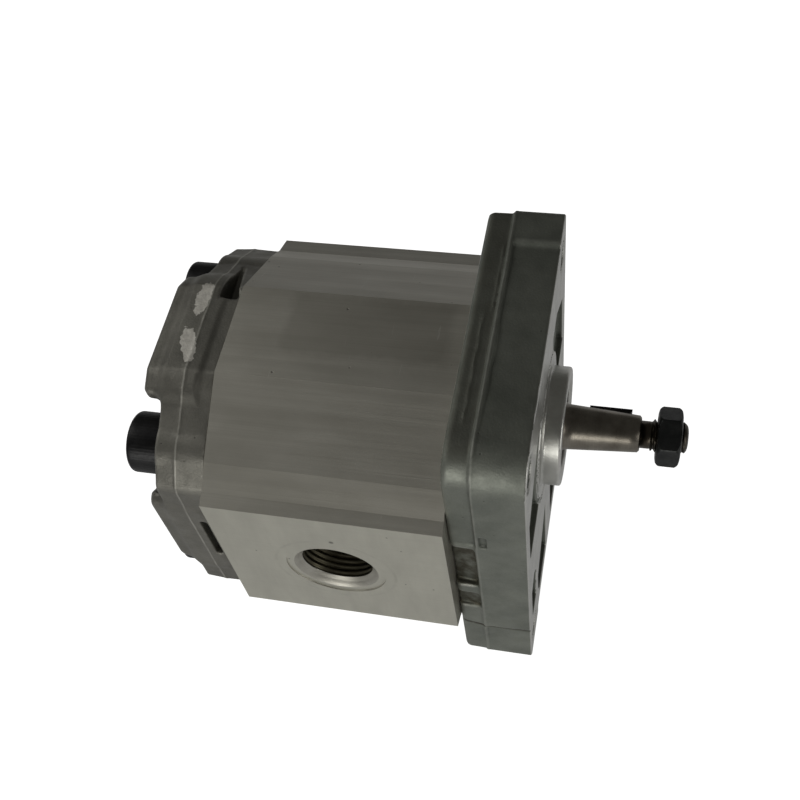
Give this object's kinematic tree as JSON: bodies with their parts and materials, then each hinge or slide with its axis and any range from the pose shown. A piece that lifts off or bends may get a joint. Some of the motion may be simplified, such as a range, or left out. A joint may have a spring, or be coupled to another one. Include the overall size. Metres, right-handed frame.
{
  "type": "hydraulic gear pump",
  "caption": "External gear pump with a rectangular bolted flange, round pilot, tapered keyed drive shaft and a threaded port on each side.",
  "frame": {"origin": "on the drive shaft's axis, in the flange's mounting face", "axes": "+X along the drive shaft, out of the drive end; +Z from the driven gear to the drive gear; ports face -Y and +Y"},
  "size_m": [0.1129, 0.0712, 0.0859],
  "materials": {
    "cast_flange": "as cast, satin grey, mounting face machined",
    "extruded_body": "brushed, with machining lines",
    "cast_cover": "as cast, dull grey",
    "bearing_block": "machined",
    "bush": "bronze-backed, smooth",
    "black_rubber": "matte",
    "backup_strip": "matte PTFE",
    "seal_rubber": "matte brown fluoro rubber",
    "spring_steel": "phosphated",
    "ground_steel": "ground, oiled",
    "black_steel": "black oxide"
  },
  "bodies": {
    "housing": {"front_flange": "cast_flange", "pump_body": "extruded_body", "rear_cover": "cast_cover", "front_bearing_block": "bearing_block", "rear_bearing_block": "bearing_block", "front_drive_bush": "bush", "front_driven_bush": "bush", "rear_drive_bush": "bush", "rear_driven_bush": "bush", "front_pressure_seal": "black_rubber", "rear_pressure_seal": "black_rubber", "front_backup_strip": "backup_strip", "rear_backup_strip": "backup_strip", "front_body_seal": "black_rubber", "rear_body_seal": "black_rubber", "shaft_seal": "seal_rubber", "seal_spring": "spring_steel", "retaining_ring": "spring_steel", "front_dowel_pins": "ground_steel", "rear_dowel_pins": "ground_steel", "cover_screws": "black_steel", "screw_washers": "black_steel"},
    "drive_gear": {"drive_gear_shaft": "ground_steel", "shaft_key": "black_steel", "shaft_nut": "black_steel"},
    "driven_gear": {"driven_gear_shaft": "ground_steel"}
  },
  "joints": [
    {"name": "drive_spin", "type": "hinge", "parent": "housing", "child": "drive_gear", "pos_m": [0, 0, 0], "axis": [1, 0, 0], "continuous": true},
    {"name": "driven_spin", "type": "hinge", "parent": "housing", "child": "driven_gear", "pos_m": [0, 0, -0.023], "axis": [1, 0, 0], "continuous": true}
  ],
  "couplings": [
    {"joint": "driven_spin", "follows": "drive_spin", "ratio": -1}
  ]
}
